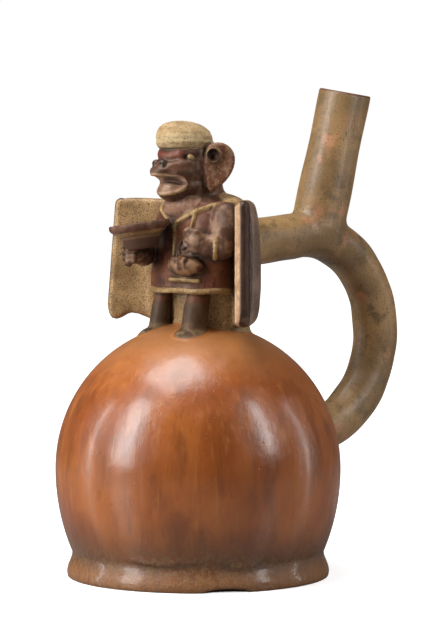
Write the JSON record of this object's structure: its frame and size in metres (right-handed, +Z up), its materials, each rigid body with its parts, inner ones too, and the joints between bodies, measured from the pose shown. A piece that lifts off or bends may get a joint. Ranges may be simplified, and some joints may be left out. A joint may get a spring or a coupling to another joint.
{
  "type": "stirrup spout vessel",
  "caption": "Fired clay stirrup spout vessel with a round chamber, a mantled figure holding a bowl on top, an arched tube and a tilted spout",
  "frame": {"origin": "middle of the underside, on the floor", "axes": "+Z up; the figure faces -Y and the stirrup arches towards +Y; the figure's left hand is on +X"},
  "size_m": [0.143, 0.2046, 0.2453],
  "materials": {
    "clay": "burnished slip-painted earthenware, orange-red chamber, dark red figure and tan stirrup"
  },
  "bodies": {
    "root": {"vessel": "clay"}
  },
  "joints": []
}
